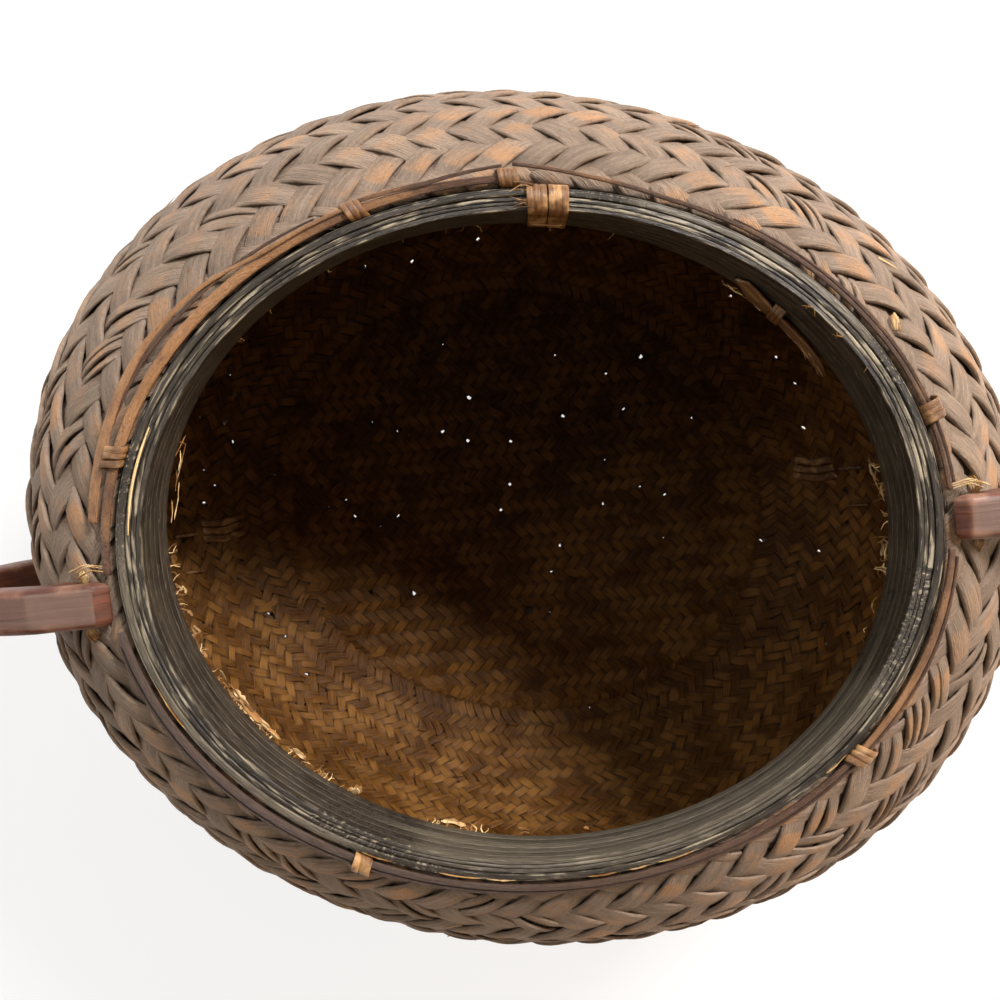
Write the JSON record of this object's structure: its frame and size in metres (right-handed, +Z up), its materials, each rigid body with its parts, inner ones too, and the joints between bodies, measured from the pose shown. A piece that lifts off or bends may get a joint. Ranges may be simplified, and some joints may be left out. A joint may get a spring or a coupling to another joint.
{
  "type": "gathering basket",
  "caption": "Round-bellied plaited rattan basket with a fine plaited lining, a lacquered mouth band, a lashed rim, a foot hoop and wooden ear handles at its sides.",
  "frame": {"origin": "middle of the object's box at its underside, in the plane of the foot hoop's flat underside", "axes": "+Z up through the mouth, X through the two ear handles, +Y to the back, where the rim's joint is wound"},
  "size_m": [0.49, 0.3548, 0.2421],
  "materials": {
    "weave_rattan": "old split rattan, dusty grey-brown, worn to orange-brown on the raised strips",
    "lining_bamboo": "fine bamboo splint, golden brown, darkened with age",
    "rim_lacquer": "bamboo band under thin black lacquer, worn to grey and straw along its edge",
    "edge_rattan": "rattan strips, brown, rubbed to orange-brown",
    "bright_rattan": "split rattan skin, golden brown, slightly shiny",
    "handle_wood": "hardwood, red-brown, greyed on its top facets"
  },
  "bodies": {
    "root": {"outer_weave": "weave_rattan", "inner_lining": "lining_bamboo", "rim_inner_band": "rim_lacquer", "rim_hoop": "rim_lacquer", "rim_strip_back_left": "edge_rattan", "rim_strip_back_right": "edge_rattan", "rim_strip_front_right": "edge_rattan", "rim_strip_front": "edge_rattan", "rim_loose_strip": "edge_rattan", "rim_tie_a": "bright_rattan", "rim_tie_b": "bright_rattan", "rim_tie_c": "bright_rattan", "rim_tie_d": "bright_rattan", "rim_tie_e": "bright_rattan", "rim_tie_f": "bright_rattan", "rim_joint_winding": "bright_rattan", "band_tie": "bright_rattan", "handle_right": "handle_wood", "handle_right_lashing": "bright_rattan", "handle_right_strap": "bright_rattan", "handle_right_inner_loop": "bright_rattan", "handle_left": "handle_wood", "handle_left_lashing": "bright_rattan", "handle_left_strap": "bright_rattan", "handle_left_inner_loop": "bright_rattan", "foot_hoop": "edge_rattan", "foot_tie_1": "bright_rattan", "foot_tie_2": "bright_rattan", "foot_tie_3": "bright_rattan", "foot_tie_4": "bright_rattan", "foot_tie_5": "bright_rattan", "foot_tie_6": "bright_rattan"}
  },
  "joints": []
}
